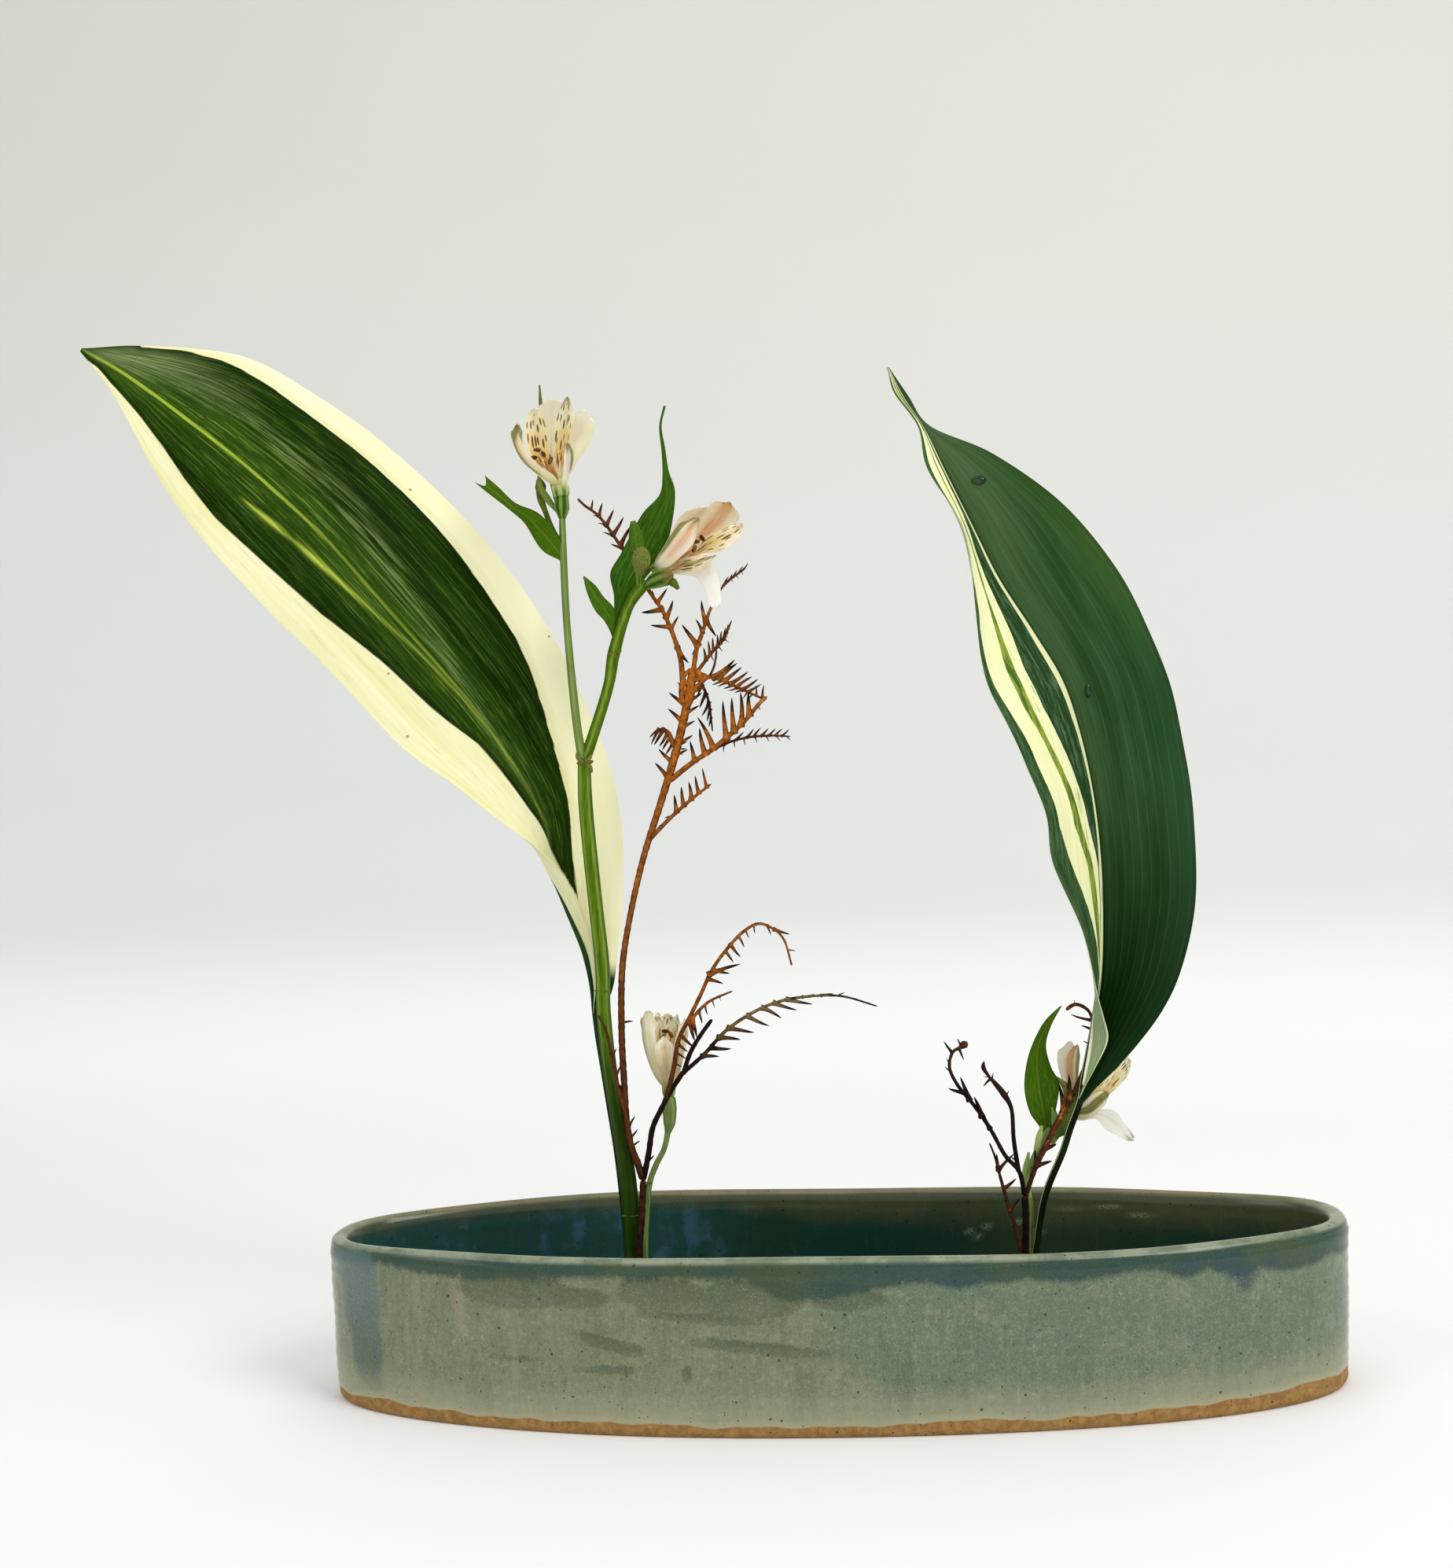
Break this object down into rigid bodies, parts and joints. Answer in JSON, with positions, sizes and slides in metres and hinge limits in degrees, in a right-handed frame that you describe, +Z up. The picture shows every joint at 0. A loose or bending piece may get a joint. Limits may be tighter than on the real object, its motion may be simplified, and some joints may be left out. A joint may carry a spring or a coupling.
{
  "type": "ikebana arrangement",
  "caption": "Ikebana arrangement of variegated leaves, alstroemeria blooms and dried spurred twigs held by pin holders in a long oval glazed bowl of water.",
  "frame": {"origin": "centre of the bowl's flat foot, on the surface it stands on", "axes": "+X along the bowl's length to the viewer's right, +Z up, the viewed front faces -Y"},
  "size_m": [0.4794, 0.1242, 0.4172],
  "materials": {
    "glaze": "gloss",
    "water": "polished",
    "lead": "matte",
    "leaf": "satin",
    "leaf_deep": "satin",
    "stem": "satin",
    "tepal": "matte",
    "tepal_pink": "matte",
    "twig": "matte",
    "twig_dark": "matte"
  },
  "bodies": {
    "root": {"bowl": "glaze", "water": "water", "pin_holder_left": "lead", "pin_holder_right": "lead", "leaf_left": "leaf", "leaf_right": "leaf_deep", "stem_tall": "stem", "stem_short": "stem", "stem_low": "stem", "bloom_upper_left": "tepal", "bloom_upper_right": "tepal_pink", "bloom_lower_left": "tepal", "bloom_lower_right": "tepal", "sprig_left": "twig", "sprig_right": "twig_dark", "twig_right": "twig"}
  },
  "joints": []
}
